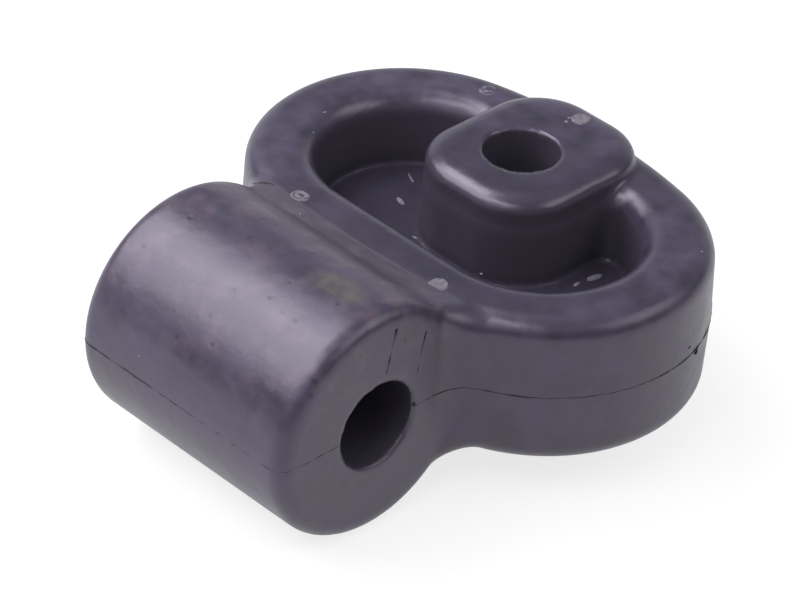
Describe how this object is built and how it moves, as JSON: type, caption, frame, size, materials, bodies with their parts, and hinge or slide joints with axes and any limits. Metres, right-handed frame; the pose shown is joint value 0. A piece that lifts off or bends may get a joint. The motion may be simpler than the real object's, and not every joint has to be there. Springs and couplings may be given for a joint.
{
  "type": "exhaust hanger rubber",
  "caption": "Black rubber exhaust hanger: a thick barrel with a cross bore joined to an oval ring, and an upright bored boss standing in the ring's pocket.",
  "frame": {"origin": "halfway along the part's length, on the mould's parting plane and on the plane of symmetry", "axes": "+X along the barrel and its bore, +Y from the barrel towards the ring and boss, +Z along the boss's bore, up from the parting plane"},
  "size_m": [0.0634, 0.07, 0.03],
  "materials": {
    "rubber": "moulded vulcanised rubber, black with a faint greyish violet bloom, satin"
  },
  "bodies": {
    "root": {"hanger_rubber": "rubber"}
  },
  "joints": []
}
